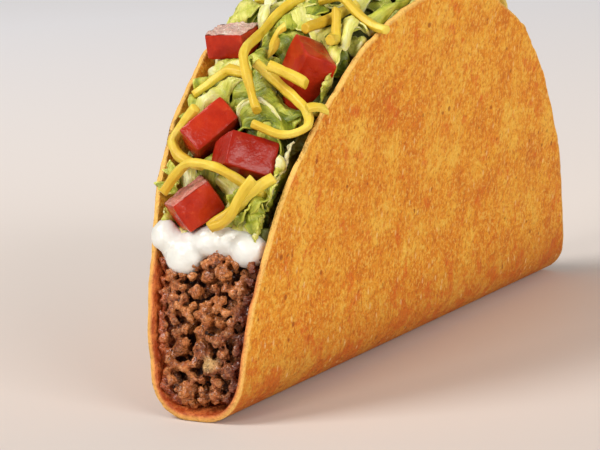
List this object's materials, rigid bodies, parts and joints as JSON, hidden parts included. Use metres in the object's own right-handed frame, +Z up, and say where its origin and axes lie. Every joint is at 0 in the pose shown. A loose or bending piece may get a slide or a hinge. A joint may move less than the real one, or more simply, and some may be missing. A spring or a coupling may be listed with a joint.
{
  "type": "taco",
  "caption": "Hard-shell taco standing on its fold, filled with minced beef and sour cream and topped with shredded lettuce, diced tomato and shredded cheese.",
  "frame": {"origin": "middle of the narrow flat under the fold, where the taco stands", "axes": "+X along the fold, +Y across the two walls, +Z up through the open edge"},
  "size_m": [0.15, 0.0437, 0.0892],
  "materials": {
    "tortilla": "fried maize tortilla, dry and dusted with seasoning",
    "beef": "seasoned minced beef, moist",
    "sour_cream": "smooth and wet",
    "lettuce": "crisp and slightly waxy",
    "tomato": "freshly cut and wet",
    "cheese": "waxy"
  },
  "bodies": {
    "root": {"shell": "tortilla", "beef": "beef", "sour_cream": "sour_cream", "lettuce": "lettuce", "tomato_01": "tomato", "tomato_02": "tomato", "tomato_03": "tomato", "tomato_04": "tomato", "tomato_05": "tomato", "tomato_06": "tomato", "tomato_07": "tomato", "tomato_08": "tomato", "tomato_09": "tomato", "tomato_10": "tomato", "tomato_11": "tomato", "cheese_01": "cheese", "cheese_02": "cheese", "cheese_03": "cheese", "cheese_04": "cheese", "cheese_05": "cheese", "cheese_06": "cheese", "cheese_07": "cheese", "cheese_08": "cheese", "cheese_09": "cheese", "cheese_10": "cheese", "cheese_11": "cheese", "cheese_12": "cheese", "cheese_13": "cheese", "cheese_14": "cheese", "cheese_15": "cheese", "cheese_16": "cheese", "cheese_17": "cheese", "cheese_18": "cheese", "cheese_19": "cheese", "cheese_20": "cheese", "cheese_21": "cheese", "cheese_22": "cheese", "cheese_23": "cheese", "cheese_24": "cheese"}
  },
  "joints": []
}
